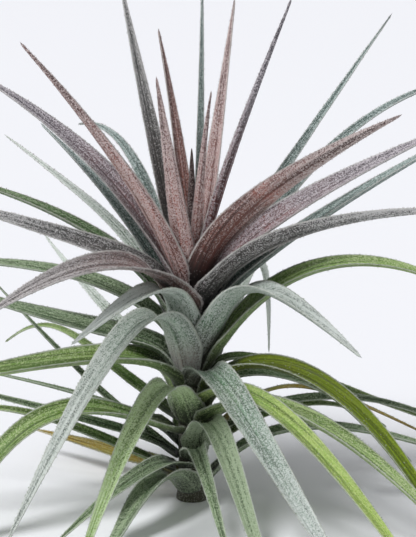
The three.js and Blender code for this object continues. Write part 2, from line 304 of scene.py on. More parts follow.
def new_tree(name, sockets):
    """An empty geometry tree with a geometry input and output and the named inputs."""
    tree = bpy.data.node_groups.new(name, "GeometryNodeTree")
    tree.interface.new_socket("Geometry", in_out="INPUT", socket_type="NodeSocketGeometry")
    for label, kind in sockets:
        tree.interface.new_socket(label, in_out="INPUT", socket_type="NodeSocket" + kind)
    tree.interface.new_socket("Geometry", in_out="OUTPUT", socket_type="NodeSocketGeometry")
    return tree


sockets = [
    ("Points across", "Int"),
    ("Margin thickness", "Float"),
    ("Groove depth", "Float"),
    ("Pleat depth", "Float"),
    ("Ripple", "Float"),
    ("Seed", "Int"),
    ("Finish", "Material"),
]
tree = new_tree("channelled blade", sockets)
given = add(tree, "NodeGroupInput")

# the grid: a row for each station, a column for each place round the loop
gaps = add(tree, MATH, (given["Points across"], 1), operation="SUBTRACT")[0]
columns = add(tree, MATH, (gaps, 2, 1), operation="MULTIPLY_ADD")[0]
rows = add(tree, "GeometryNodeAttributeDomainSize", {"Geometry": given["Geometry"]})["Point Count"]
grid = add(tree, "GeometryNodeMeshGrid", {"Vertices X": rows, "Vertices Y": columns})["Mesh"]
index = add(tree, "GeometryNodeInputIndex")[0]
row = add(tree, MATH, (index, 0.5), operation="ADD")[0]
row = add(tree, MATH, (row, columns), operation="DIVIDE")[0]
row = add(tree, MATH, (row,), operation="FLOOR")[0]
column = add(tree, MATH, (row, columns), operation="MULTIPLY")[0]
column = add(tree, MATH, (index, column), operation="SUBTRACT")[0]
loop = add(tree, MATH, (column, gaps), operation="DIVIDE")[0]
upper = add(tree, MATH, (loop, UPPER_UP_TO), operation="LESS_THAN")[0]
across = add(tree, MATH, (loop, 1), operation="SUBTRACT")[0]
across = add(tree, MATH, (across,), operation="ABSOLUTE")[0]
across = add(tree, MATH, (across, -2, 1), operation="MULTIPLY_ADD")[0]
print("nodes for the grid:", len(tree.nodes))

# %% [markdown]
# Each row of the grid looks up its own station, and reads the measures and directions that the path
# carries there. The middle of the wall lies on an arc across the blade, which makes the shallow
# channel that leads water down to the stem.

# %% Blade tree: the channel
# the station's measures and directions, read from the path
at = {}
path = given["Geometry"]
for name in ("along", "width", "half", "rib", "opening", "sideways"):
    kind = "FLOAT_VECTOR" if name in ("opening", "sideways") else "FLOAT"
    value = add(tree, "GeometryNodeInputNamedAttribute", {"Name": name}, data_type=kind)["Attribute"]
    links = {"Geometry": path, "Value": value, "Index": row}
    at[name] = add(tree, "GeometryNodeSampleIndex", links, data_type=kind)["Value"]
links = {"Geometry": path, "Value": add(tree, "GeometryNodeInputPosition")[0], "Index": row}
centre = add(tree, "GeometryNodeSampleIndex", links, data_type="FLOAT_VECTOR")["Value"]

# the middle of the blade's wall, on an arc
angle = add(tree, MATH, (across, at["half"]), operation="MULTIPLY")[0]
sine = add(tree, MATH, (angle,), operation="SINE")[0]
cosine = add(tree, MATH, (angle,), operation="COSINE")[0]
radius = add(tree, MATH, (at["half"], 2), operation="MULTIPLY")[0]
radius = add(tree, MATH, (at["width"], radius), operation="DIVIDE")[0]
lift = add(tree, MATH, (1, cosine), operation="SUBTRACT")[0]
lift = add(tree, MATH, (radius, lift), operation="MULTIPLY")[0]
aside = add(tree, MATH, (radius, sine), operation="MULTIPLY")[0]
wall = add(tree, VECTOR, {0: at["opening"], "Scale": lift}, operation="SCALE")[0]
wall = add(tree, VECTOR, (centre, wall), operation="ADD")[0]
aside = add(tree, VECTOR, {0: at["sideways"], "Scale": aside}, operation="SCALE")[0]
wall = add(tree, VECTOR, (wall, aside), operation="ADD")[0]
outward = add(tree, VECTOR, {0: at["opening"], "Scale": cosine}, operation="SCALE")[0]
tilt = add(tree, VECTOR, {0: at["sideways"], "Scale": sine}, operation="SCALE")[0]
normal = add(tree, VECTOR, (outward, tilt), operation="SUBTRACT")[0]
print("nodes with the channel:", len(tree.nodes))

# %% [markdown]
# The wall is thickest at the rib. It thins towards the margins, where the two faces meet in a sharp
# edge, and it closes at both ends. A fine groove runs down the middle of the upper face.

# %% Blade tree: thickness and groove
FOOT_CLOSED_BY = 0.01
TIP_CLOSES_FROM = 0.985
MARGIN_SHARPNESS = 4
GROOVE_SHARPNESS = 160

# its thickness: full at the rib, thin near the margins, nothing at the margin and at both ends
square = add(tree, MATH, (across, 2), operation="POWER")[0]
thinner = add(tree, MATH, (given["Margin thickness"], at["rib"]), operation="SUBTRACT")[0]
thick = add(tree, MATH, (square, thinner, at["rib"]), operation="MULTIPLY_ADD")[0]
edge = add(tree, MATH, (square, MARGIN_SHARPNESS), operation="POWER")[0]
edge = add(tree, MATH, (1, edge), operation="SUBTRACT")[0]
edge = add(tree, MATH, (edge, 0), operation="MAXIMUM")[0]
edge = add(tree, MATH, (edge,), operation="SQRT")[0]
links = {"Value": at["along"], "From Min": 1.0, "From Max": TIP_CLOSES_FROM}
tip = add(tree, SPREAD, links)[0]
links = {"Value": at["along"], "From Min": 0.0, "From Max": FOOT_CLOSED_BY}
foot = add(tree, SPREAD, links)[0]
ends = add(tree, MATH, (tip, foot), operation="MULTIPLY")[0]
face = add(tree, MATH, (upper, -0.5), operation="ADD")[0]
offset = add(tree, MATH, (thick, edge), operation="MULTIPLY")[0]
offset = add(tree, MATH, (offset, face), operation="MULTIPLY")[0]

# the fine groove down the middle of the upper face
groove = add(tree, MATH, (square, -GROOVE_SHARPNESS), operation="MULTIPLY")[0]
groove = add(tree, MATH, (groove,), operation="EXPONENT")[0]
groove = add(tree, MATH, (groove, upper), operation="MULTIPLY")[0]
groove = add(tree, MATH, (groove, given["Groove depth"]), operation="MULTIPLY")[0]
offset = add(tree, MATH, (offset, groove), operation="SUBTRACT")[0]
print("nodes with the wall:", len(tree.nodes))

# %% [markdown]
# Two soft pleats run along each half, and the faces ripple a little, as living leaves do. Both move
# the two faces alike.

# %% Blade tree: pleats and ripple
PLEAT_START = 0.12
PLEAT_PHASE = 14.0  # radians of the pleat wave from the middle to the margin: two pleats
PLEATS_GROWN_BY = 0.125
RIPPLE_LENGTHWISE = 9
RIPPLE_CROSSWISE = 1.3

# lengthwise pleats, deepest half way to the margin, and alike on both faces
crest = add(tree, MATH, (across,), operation="ABSOLUTE")[0]
crest = add(tree, MATH, (crest, PLEAT_START), operation="SUBTRACT")[0]
crest = add(tree, MATH, (crest, PLEAT_PHASE), operation="MULTIPLY")[0]
crest = add(tree, MATH, (crest,), operation="SINE")[0]
band = add(tree, MATH, (1, square), operation="SUBTRACT")[0]
links = {"Value": at["along"], "From Min": 0.0, "From Max": PLEATS_GROWN_BY}
grown = add(tree, SPREAD, links)[0]
band = add(tree, MATH, (band, grown), operation="MULTIPLY")[0]
pleat = add(tree, MATH, (crest, band), operation="MULTIPLY")[0]
offset = add(tree, MATH, (pleat, given["Pleat depth"], offset), operation="MULTIPLY_ADD")[0]

# a slow ripple along the blade, the same on both faces so that the wall keeps its thickness
lengthwise = add(tree, MATH, (at["along"], RIPPLE_LENGTHWISE), operation="MULTIPLY")[0]
crosswise = add(tree, MATH, (across, RIPPLE_CROSSWISE), operation="MULTIPLY")[0]
where = add(tree, JOIN, (lengthwise, crosswise, given["Seed"]))[0]
wave = add(tree, "ShaderNodeTexNoise", {"Vector": where, "Scale": 1.0, "Detail": 2.0})[0]
wave = add(tree, MATH, (wave, 0.5), operation="SUBTRACT")[0]
wave = add(tree, MATH, (wave, square), operation="MULTIPLY")[0]
offset = add(tree, MATH, (wave, given["Ripple"], offset), operation="MULTIPLY_ADD")[0]
offset = add(tree, MATH, (offset, ends), operation="MULTIPLY")[0]
offset = add(tree, VECTOR, {0: normal, "Scale": offset}, operation="SCALE")[0]
place = add(tree, VECTOR, (wall, offset), operation="ADD")[0]
print("nodes with pleats and ripple:", len(tree.nodes))

# %% [markdown]
# The tree keeps what the finishes need as attributes: along, across, which face, and the girth in
# metres. The faces are welded where they meet, so that the skin is one closed body.

# %% Blade tree: attributes and closed skin
WELD_DISTANCE = 0.002

# attributes for the finish, then the closed and smooth skin
blade = add(tree, "GeometryNodeSetPosition", {"Geometry": grid, "Position": place})[0]
kept = {"along": at["along"], "across": across, "upper": upper, "girth": at["width"]}
for name, value in kept.items():
    links = {"Geometry": blade, "Name": name, "Value": value}
    blade = add(tree, "GeometryNodeStoreNamedAttribute", links, data_type="FLOAT")[0]
links = {"Geometry": blade, "Distance": WELD_DISTANCE * MM}
blade = add(tree, "GeometryNodeMergeByDistance", links)[0]
blade = add(tree, "GeometryNodeSetShadeSmooth", {"Geometry": blade})[0]
blade = add(tree, "GeometryNodeRealizeInstances", {"Geometry": blade})[0]
blade = add(tree, "GeometryNodeSetMaterial", {"Geometry": blade, "Material": given["Finish"]})[0]
add(tree, "NodeGroupOutput", {"Geometry": blade})
BLADE = tree
print("nodes in the whole blade tree:", len(BLADE.nodes))

# %% [markdown]
# The finishes come next. Under its scales the leaf is smooth, waxy tissue: red-brown to mauve in
# the heart, and green further down. Near the foot, where the leaf feet overlap, it turns black-brown
# in most finishes: that is painted shade for the shadow of the leaf that covers it. In a few finishes
# the foot colour is lighter, the foot's own pale tone. Over it grows a felt of flat silver scales,
# each about a fifth of a millimetre wide. That is too fine to show here, so they are drawn as tufts
# 0.29 mm apart. Each tuft is one cell of a Voronoi pattern, and the cell's own random number decides
# whether it is silver or bare. To the eye that is the pepper-and-salt speckle of the leaf.
#
# Every pattern lies on the flattened blade, in millimetres, so it follows the leaf round its bends.
# Faint veins lie 0.6 mm apart, stripes of denser felt about 1.8 mm apart, and the slow drifts of red
# and of felt are about 20 mm across.

# %% Patterns on the flattened blade
TUFT_SPACING = 0.29
VEIN_SPACING = 0.6
VEIN_SWAY = 0.03
STRIPE_SPACING = 1.8
STRIPE_SWAY = 0.012
BLUSH_SIZE = 20
FACE_SLICE = 20
NOISE = "ShaderNodeTexNoise"
ATTRIBUTE = "ShaderNodeAttribute"
LEAF_ATTRIBUTES = ("along", "across", "upper", "girth", "leaf_length", "leaf_seed", "leaf_felt")


def leaf_patterns(tree):
    """Where a point lies on the flattened blade, in millimetres, and the patterns it sees there."""
    at = {name: add(tree, ATTRIBUTE, attribute_name=name)["Fac"] for name in LEAF_ATTRIBUTES}
    at["edge"] = add(tree, MATH, (at["across"],), operation="ABSOLUTE")[0]
    at["forward"] = add(tree, MATH, (at["along"], at["leaf_length"]), operation="MULTIPLY")[0]
    half_girth = add(tree, MATH, (at["girth"], 0.5 / MM), operation="MULTIPLY")[0]
    aside = add(tree, MATH, (at["across"], half_girth), operation="MULTIPLY")[0]
    own = add(tree, MATH, (at["upper"], FACE_SLICE, at["leaf_seed"]), operation="MULTIPLY_ADD")[0]
    flat = add(tree, JOIN, (at["forward"], aside, own))[0]
    pattern = (VEIN_SWAY, 1 / VEIN_SPACING, 1)
    drawn = add(tree, VECTOR, (flat, pattern), operation="MULTIPLY")[0]
    at["veins"] = add(tree, NOISE, {"Vector": drawn, "Scale": 1.0, "Detail": 1.0})[0]
    pattern = (STRIPE_SWAY, 1 / STRIPE_SPACING, 1)
    drawn = add(tree, VECTOR, (flat, pattern), operation="MULTIPLY")[0]
    at["stripes"] = add(tree, NOISE, {"Vector": drawn, "Scale": 1.0, "Detail": 1.0})[0]
    at["drifts"] = add(tree, NOISE, {"Vector": flat, "Scale": 1 / BLUSH_SIZE, "Detail": 2.0})[0]
    tufts = add(tree, "ShaderNodeTexVoronoi", {"Vector": flat, "Scale": 1 / TUFT_SPACING})["Color"]
    at["chance"], at["shade"], _ = add(tree, "ShaderNodeSeparateColor", {"Color": tufts})
    return at


print("tufts across a blade 20 mm wide:", round(20 / TUFT_SPACING))

# %% [markdown]
# The tissue changes colour from the foot to the tip. Near the foot it is flushed with red in
# patches. Over the first two to three centimetres it turns to a foot colour, which in most finishes
# is a dark painted shade for the shadow under the next leaf, darkest at the very foot. The veins lie
# over that as lighter and darker lines.

# %% Leaf tissue
BLEND = "ShaderNodeMix"
SOFT = {"interpolation_type": "SMOOTHSTEP"}
PAINT = {"data_type": "RGBA"}


def leaf_tissue(tree, at, foot_tone_and_shade, near, far, blush, red, depth):
    """The colour of the bare leaf, and how much of the painted foot shade a point takes."""
    links = {"Value": at["along"], "From Min": 0.1, "From Max": 0.9}
    grown = add(tree, SPREAD, links, **SOFT)[0]
    links = {"Factor": grown, "A": linear(near), "B": linear(far)}
    tissue = add(tree, BLEND, links, **PAINT)["Result"]
    links = {"Value": at["along"], "From Min": 0.75, "From Max": 0.2, "To Max": red}
    flushed = add(tree, SPREAD, links, **SOFT)[0]
    links = {"Value": at["drifts"], "From Min": 0.42, "From Max": 0.62}
    patches = add(tree, SPREAD, links, **SOFT)[0]
    flushed = add(tree, MATH, (flushed, patches), operation="MULTIPLY")[0]
    links = {"Factor": flushed, "A": tissue, "B": linear(blush)}
    tissue = add(tree, BLEND, links, **PAINT)["Result"]
    # painted shade: the tissue turns to the foot colour over the first depth millimetres of the leaf
    links = {"Value": at["forward"], "From Min": depth, "From Max": depth / 4}
    foot_share = add(tree, SPREAD, links, **SOFT)[0]
    links = {"Factor": foot_share, "A": tissue, "B": linear(foot_tone_and_shade)}
    tissue = add(tree, BLEND, links, **PAINT)["Result"]
    lines = add(tree, MATH, (at["veins"], at["stripes"]), operation="ADD")[0]
    links = {"Value": lines, "From Min": 0.8, "From Max": 1.2, "To Min": 0.55, "To Max": 1.4}
    veined = add(tree, SPREAD, links, **SOFT)[0]
    tissue = add(tree, "ShaderNodeHueSaturation", {"Color": tissue, "Value": veined})[0]
    return tissue, foot_share


print("linear light of bare mauve tissue:", [round(c, 3) for c in linear("#5f3c3a")])

# %% [markdown]
# The share of silver tufts is the cover. It grows from the foot to the tip in most finishes, and at
# the margins in all. It changes with the stripes, the drifts and the veins, and it is lowered at the
# foot and along the middle groove, so that the darker tissue shows there as painted shade. A tuft is
# silver where its own chance and the cover add up to more than one.

# %% Scale felt
TUFT_OPACITY = 0.62
TUFT_VARIETY = 0.3
THIN_FELT = 0.05
CONTRASTS = {"stripes": 0.8, "drifts": 0.3, "veins": 0.5}
RIM_SHARPNESS = 6
RIM_COVER = 0.3
GROOVE_PAINTED_SHADE = 0.25


def leaf_felt(tree, at, foot_share, cover_near, cover_far, thinner):
    """Whether a tuft is silver, and how much of the tissue the felt hides."""
    links = {"Value": at["along"], "From Min": 0.2, "From Max": 0.95}
    links.update({"To Min": cover_near, "To Max": cover_far})
    cover = add(tree, SPREAD, links, **SOFT)[0]
    # the leaf's own felt shift; for middle_leaf_02 it is partly a painted highlight
    cover = add(tree, MATH, (cover, at["leaf_felt"]), operation="ADD")[0]
    for name, contrast in CONTRASTS.items():
        cover = add(tree, MATH, (at[name], contrast, cover), operation="MULTIPLY_ADD")[0]
    cover = add(tree, MATH, (cover, sum(CONTRASTS.values()) / 2), operation="SUBTRACT")[0]
    rim = add(tree, MATH, (at["edge"], RIM_SHARPNESS), operation="POWER")[0]
    cover = add(tree, MATH, (rim, RIM_COVER, cover), operation="MULTIPLY_ADD")[0]
    # the felt is thinned along the middle groove so that the groove shows darker: painted shade
    links = {"Value": at["edge"], "From Min": 0.03, "From Max": 0.14}
    links.update({"To Min": -GROOVE_PAINTED_SHADE, "To Max": 0})
    groove = add(tree, SPREAD, links, **SOFT)[0]
    cover = add(tree, MATH, (cover, groove), operation="ADD")[0]
    # the felt thins in the painted foot shade, so that the shade reads darker
    cover = add(tree, MATH, (foot_share, -thinner, cover), operation="MULTIPLY_ADD")[0]
    silver = add(tree, MATH, (at["chance"], cover), operation="ADD")[0]
    silver = add(tree, SPREAD, {"Value": silver, "From Min": 0.9, "From Max": 1.1}, **SOFT)[0]
    opaque = add(tree, MATH, (at["shade"], TUFT_VARIETY, TUFT_OPACITY), operation="MULTIPLY_ADD")[0]
    opaque = add(tree, MATH, (silver, opaque, THIN_FELT), operation="MULTIPLY_ADD")[0]
    return silver, opaque


densest = round(TUFT_OPACITY + TUFT_VARIETY, 2)
print("a silver tuft hides", TUFT_OPACITY, "to", densest, "of the tissue")

# %% [markdown]
# The felt scatters light at grazing angles, which gives every leaf its soft bright rim. Sheen does
# that, and it is the same all over, so it sits on the shader. The bare tissue has a roughness of
# 0.45, as a waxy leaf has, and the tufts have 0.8, as matt cloth has. They stand up by a few
# hundredths of a millimetre and the veins by less. Along the margin runs a pale line: partly the
# leaf's silvery edge, and partly a painted highlight where light catches the rim.

# %% Leaf finishes
WAX_ROUGHNESS = 0.45
FELT_ROUGHNESS = 0.8
VEIN_RELIEF = 0.8
RELIEF_DEPTH = 0.1
PALE_RIM_AND_HIGHLIGHT = "#d3d6ce"


def new_material(name):
    """A material whose node tree is still empty, and that tree."""
    material = bpy.data.materials.new(name)
    material.use_nodes = True
    material.node_tree.nodes.clear()
    return material, material.node_tree


def leaf_finish(name, foot_tone_and_shade, near, far, blush, felt, cover_near, cover_far, red, thinner, depth):
    """Leaf skin with scale felt: tissue from the painted foot shade to the tip, its blush, the felt and
    its cover.
    """
    material, tree = new_material(name)
    at = leaf_patterns(tree)
    tissue, foot_share = leaf_tissue(tree, at, foot_tone_and_shade, near, far, blush, red, depth)
    silver, opaque = leaf_felt(tree, at, foot_share, cover_near, cover_far, thinner)
    links = {"Factor": opaque, "A": tissue, "B": linear(felt)}
    colour = add(tree, BLEND, links, **PAINT)["Result"]

    # the pale margin, as wide as the wall is thick: partly the leaf's silvery edge, partly a painted
    # highlight where light catches the rim, weaker near the foot
    links = {"Value": at["edge"], "From Min": 0.91, "From Max": 0.97, "To Max": 0.7}
    rim_and_highlight = add(tree, SPREAD, links, **SOFT)[0]
    links = {"Value": at["forward"], "From Min": 2, "From Max": 24, "To Min": 0.2}
    opened = add(tree, SPREAD, links, **SOFT)[0]
    rim_and_highlight = add(tree, MATH, (rim_and_highlight, opened), operation="MULTIPLY")[0]
    links = {"Factor": rim_and_highlight, "A": colour, "B": linear(PALE_RIM_AND_HIGHLIGHT)}
    colour = add(tree, BLEND, links, **PAINT)["Result"]

    height = add(tree, MATH, (at["veins"], VEIN_RELIEF, silver), operation="MULTIPLY_ADD")[0]
    links = {"Height": height, "Strength": 0.6, "Distance": RELIEF_DEPTH * MM}
    relief = add(tree, "ShaderNodeBump", links)[0]
    values = (silver, FELT_ROUGHNESS - WAX_ROUGHNESS, WAX_ROUGHNESS)
    roughness = add(tree, MATH, values, operation="MULTIPLY_ADD")[0]
    shader = {
        "Base Color": colour,
        "Roughness": roughness,
        "Normal": relief,
        "Sheen Weight": 0.15,
        "Sheen Roughness": 0.4,
        "Sheen Tint": linear("#eceeec"),
        "Specular IOR Level": 0.3,
    }
    surface = add(tree, "ShaderNodeBsdfPrincipled", shader)[0]
    add(tree, "ShaderNodeOutputMaterial", {"Surface": surface})
    return material


# name: foot colour (mostly painted shade under the next leaf), near, far, blush, felt, cover near
# the foot and far out, how much of the tissue is red, how much thinner the felt is in the painted
# foot shade, and how far from the foot that shade reaches, in millimetres
FINISHES = {
    "rosewood": ("#150c0a", "#613227", "#5d4542", "#96442f", "#c9bdb9", 0.2, 0.7, 0.95, 0.4, 28),
    "russet": ("#1e110e", "#7a4234", "#6b4a42", "#8a4634", "#c0aba6", 0.34, 0.44, 0.8, 0.3, 24),
    "mauve": ("#1a1213", "#5f3c3a", "#6a676d", "#7d4238", "#cfc9cc", 0.36, 0.6, 0.6, 0.3, 24),
    "rose": ("#2a1613", "#8a4c3f", "#6d5350", "#9c5441", "#dccbc7", 0.54, 0.5, 0.6, 0.3, 20),
    "ash": ("#141311", "#33312c", "#5e5f5d", "#4e3f3a", "#cdccca", 0.16, 0.84, 0.3, 0.3, 24),
    "maroon": ("#211310", "#5a3329", "#6b6562", "#66352a", "#d3cfcd", 0.14, 0.7, 0.7, 0.2, 24),
    "sea": ("#161b17", "#2f4438", "#586c65", "#44433a", "#bfcac6", 0.26, 0.62, 0.2, 0.3, 24),
    "pale": ("#3d4a38", "#6f8268", "#9fb09f", "#8b9a80", "#e0e5df", 0.55, 0.92, 0.1, 0.2, 20),
    "dusted": ("#a89b94", "#4c704f", "#8b958d", "#6b6a58", "#cfd5ce", 0.56, 0.76, 0.25, 0.05, 24),
    "sage": ("#5c5a50", "#3b6640", "#87908a", "#6b6a58", "#ccd2cc", 0.46, 0.76, 0.25, 0.2, 22),
    "moss": ("#2c3626", "#35502b", "#4c663a", "#50532f", "#a9b89a", 0.3, 0.52, 0.2, 0.15, 22),
    "grass": ("#39452a", "#4a6d26", "#6a883a", "#7c8a2c", "#b4c293", 0.26, 0.48, 0.25, 0.2, 22),
    "frost": ("#2c3328", "#5a7c3d", "#7c9c4b", "#50532f", "#c2d5a8", 0.64, 0.68, 0.25, 0.5, 24),
    "lime": ("#3f4a1f", "#64823a", "#89a63e", "#8f9838", "#bccb86", 0.36, 0.46, 0.25, 0.2, 22),
    "olive": ("#414f33", "#53610c", "#627a0c", "#5d5f12", "#86972f", 0.16, 0.28, 0.3, 0.2, 22),
    "straw": ("#4b4a20", "#7f8224", "#a3873a", "#a87432", "#c2bc8a", 0.15, 0.35, 0.5, 0.2, 20),
}
finishes = {}
for word, values in FINISHES.items():
    finishes[word] = leaf_finish(f"leaf skin, silver scale felt grown over {word} tissue", *values)
print("leaf finishes:", ", ".join(finishes))

# %% [markdown]
# Now every path gets the blade modifier. A modifier's inputs are set by their identifiers before
# the object is first evaluated. The result is turned into a plain mesh, which keeps the solid's
# place and stands for it.

# %% Dress every leaf
POINTS_ACROSS = 21
MARGIN_THICKNESS = 0.5
GROOVE_DEPTH = 0.16
PLEAT_DEPTH = 0.19
RIPPLE = 0.5
SEED_STEP = 3.7


def dress(skin, tree, values):
    """Runs a node tree on an object and keeps the result as its plain mesh."""
    modifier = skin.modifiers.new("growth", "NODES")
    modifier.node_group = tree
    for item in tree.interface.items_tree:
        if item.item_type == "SOCKET" and item.in_out == "INPUT" and item.name in values:
            modifier[item.identifier] = values[item.name]
    graph = bpy.context.evaluated_depsgraph_get()
    ready = skin.evaluated_get(graph)
    grown = bpy.data.meshes.new_from_object(ready, preserve_all_data_layers=True, depsgraph=graph)
    skin.modifiers.remove(modifier)
    old = skin.data
    skin.data = grown
    bpy.data.meshes.remove(old)
    grown.name = skin.name
    return grown


def constant(mesh, name, value):
    """The same number on every point of a mesh, for a finish to read."""
    layer = mesh.attributes.new(name, "FLOAT", "POINT")
    layer.data.foreach_set("value", [value] * len(mesh.vertices))


skins = {}
for number, leaf in enumerate(leaves):
    skin = path_object(leaf)
    values = {
        "Points across": POINTS_ACROSS,
        "Margin thickness": MARGIN_THICKNESS * MM,
        "Groove depth": GROOVE_DEPTH * MM,
        "Pleat depth": PLEAT_DEPTH * MM,
        "Ripple": RIPPLE * MM,
        "Seed": number,
        "Finish": finishes[leaf["finish"]],
    }
    mesh = dress(skin, BLADE, values)
    constant(mesh, "leaf_seed", number * SEED_STEP)
    constant(mesh, "leaf_length", leaf["length"])
    constant(mesh, "leaf_felt", leaf["felt"])
    skins[leaf["name"]] = skin
    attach(skin, "root")
    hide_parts(leaf["name"])
print("triangles in the skins:", sum(len(s.data.polygons) * 2 for s in skins.values()))

# %% [markdown]
# Along the margins the silver scales stand up and fray, and a few lift off the faces too. They are
# what makes the outline of a leaf look frosted. Each is a dry shield of dead cells, a few tenths of
# a millimetre long. That is too fine to show, so each is drawn as a closed splinter of four faces,
# up to 0.7 mm long. Scattering them by hand would be endless: Geometry Nodes throw points on the
# finished skins, many near the margins and few elsewhere, and set a splinter on each, leaning at
# random.

# %% Standing scales
SCALE_LENGTH = 0.65
SCALE_RADIUS = 0.16
SCALES_PER_SQUARE_MM = 0.2
MARGIN_SCALES_PER_SQUARE_MM = 7
FRAY_STARTS = 0.9
FRAY_FULL = 0.98
SMALLEST_SCALE = 0.4
LARGEST_SCALE = 1.1
SCALE_LEAN = 0.7


def scale_tree():
    """The rule that sets a small, leaning splinter on many points of the skins."""
    sockets = [
        ("Skins", "Collection"),
        ("Length", "Float"),
        ("Radius", "Float"),
        ("Density", "Float"),
        ("Margin density", "Float"),
        ("Lean", "Float"),
        ("Seed", "Int"),
        ("Finish", "Material"),
    ]
    tree = new_tree("standing scales", sockets)
    given = add(tree, "NodeGroupInput")
    skins = add(tree, "GeometryNodeCollectionInfo", {"Collection": given["Skins"]})[0]
    skins = add(tree, "GeometryNodeRealizeInstances", {"Geometry": skins})[0]

    # many near the margins, few on the faces, none where the leaf lies on the ground
    across = add(tree, "GeometryNodeInputNamedAttribute", {"Name": "across"})["Attribute"]
    edge = add(tree, MATH, (across,), operation="ABSOLUTE")[0]
    links = {"Value": edge, "From Min": FRAY_STARTS, "From Max": FRAY_FULL}
    links.update({"To Min": given["Density"], "To Max": given["Margin density"]})
    density = add(tree, SPREAD, links)[0]
    height = add(tree, "ShaderNodeSeparateXYZ", (add(tree, "GeometryNodeInputPosition")[0],))["Z"]
    clear = add(tree, MATH, (height, given["Length"]), operation="GREATER_THAN")[0]
    density = add(tree, MATH, (density, clear), operation="MULTIPLY")[0]
    links = {"Mesh": skins, "Density": density, "Seed": given["Seed"]}
    scattered = add(tree, "GeometryNodeDistributePointsOnFaces", links)

    # one splinter, leaning at random from the surface it stands on
    links = {"Vertices": 3, "Radius Top": 0.0, "Radius Bottom": given["Radius"], "Depth": given["Length"]}
    splinter = add(tree, "GeometryNodeMeshCone", links, fill_type="NGON")["Mesh"]
    least = add(tree, VECTOR, {0: (-1, -1, -3), "Scale": given["Lean"]}, operation="SCALE")[0]
    most = add(tree, VECTOR, {0: (1, 1, 3), "Scale": given["Lean"]}, operation="SCALE")[0]
    links = {"Min": least, "Max": most, "Seed": given["Seed"]}
    lean = add(tree, "FunctionNodeRandomValue", links, data_type="FLOAT_VECTOR")["Value"]
    links = {"Rotation": scattered["Rotation"], "Rotate By": lean}
    leaning = add(tree, "FunctionNodeRotateRotation", links, rotation_space="LOCAL")[0]
    links = {"Min": SMALLEST_SCALE, "Max": LARGEST_SCALE, "Seed": given["Seed"]}
    size = add(tree, "FunctionNodeRandomValue", links, data_type="FLOAT")["Value"]
    links = {"Points": scattered["Points"], "Instance": splinter, "Rotation": leaning, "Scale": size}
    scales = add(tree, "GeometryNodeInstanceOnPoints", links)[0]
    scales = add(tree, "GeometryNodeRealizeInstances", {"Geometry": scales})[0]
    scales = add(tree, "GeometryNodeSetMaterial", {"Geometry": scales, "Material": given["Finish"]})[0]
    add(tree, "NodeGroupOutput", {"Geometry": scales})
    return tree


SCALES = scale_tree()
print("nodes in the scale tree:", len(SCALES.nodes))

# %% [markdown]
# The standing shields are dead cells, dried dull and matt. They are pale, so they edge each leaf
# with frost: rosy round the heart, greenish below, brighter and duller in drifts of about 3 mm.

# %% Finish of the standing scales
SCALE_DRIFTS_PER_METRE = 330.0


def scale_finish(name, dull, bright):
    """Dried shields between a dull and a bright colour."""
    material, tree = new_material(name)
    place = add(tree, "ShaderNodeTexCoord")["Object"]
    drifts = add(tree, NOISE, {"Vector": place, "Scale": SCALE_DRIFTS_PER_METRE, "Detail": 3.0})[0]
    drifts = add(tree, SPREAD, {"Value": drifts, "From Min": 0.35, "From Max": 0.65})[0]
    links = {"Factor": drifts, "A": linear(dull), "B": linear(bright)}
    colour = add(tree, BLEND, links, **PAINT)["Result"]
    shader = {"Base Color": colour, "Roughness": 0.75, "Specular IOR Level": 0.3}
    surface = add(tree, "ShaderNodeBsdfPrincipled", shader)[0]
    add(tree, "ShaderNodeOutputMaterial", {"Surface": surface})
    return material


rosy = scale_finish("standing leaf scales, dried rosy silver", "#8d7f7c", "#ded8d6")
green = scale_finish("standing leaf scales, dried green silver", "#7f8a75", "#d4dacd")
print("finishes:", rosy.name, "and", green.name)

# %% [markdown]
# One piece holds the scales of one tier of leaves. It reads the skins of its tier from a collection,
# which is removed once the scales are a plain mesh.

# %% Scales on every tier
TIERS = {"heart": rosy, "crown": rosy, "middle": green, "lower": green, "back": green}
for number, (tier, finish) in enumerate(TIERS.items()):
    group = bpy.data.collections.new(tier + " skins")
    for name, skin in skins.items():
        if name.startswith(tier):
            group.objects.link(skin)
    scales = bpy.data.objects.new(tier + "_scales", bpy.data.meshes.new(tier + "_scales"))
    bpy.context.scene.collection.objects.link(scales)
    values = {
        "Skins": group,
        "Length": SCALE_LENGTH * MM,
        "Radius": SCALE_RADIUS * MM,
        "Density": SCALES_PER_SQUARE_MM / MM**2,
        "Margin density": MARGIN_SCALES_PER_SQUARE_MM / MM**2,
        "Lean": SCALE_LEAN,
        "Seed": 11 + number,
        "Finish": finish,
    }
    mesh = dress(scales, SCALES, values)
    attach(scales, "root")
    bpy.data.collections.remove(group)
    print(tier, "scales:", len(mesh.polygons) // 4)

# %% [markdown]
# The stem shows only in slivers between the clasping leaf feet. It is woody, dark and fibrous, and
# it carries the torn rims of older leaf feet as low rings. A turned profile is enough for it.

# %% Stem
STEM_SIDES = 48
STEM_LEVELS = 240
BARK_INSET = 0.1
RING_SPACING = 3.2
RING_LIP = 0.22
RINGS_FULL_BY = 2


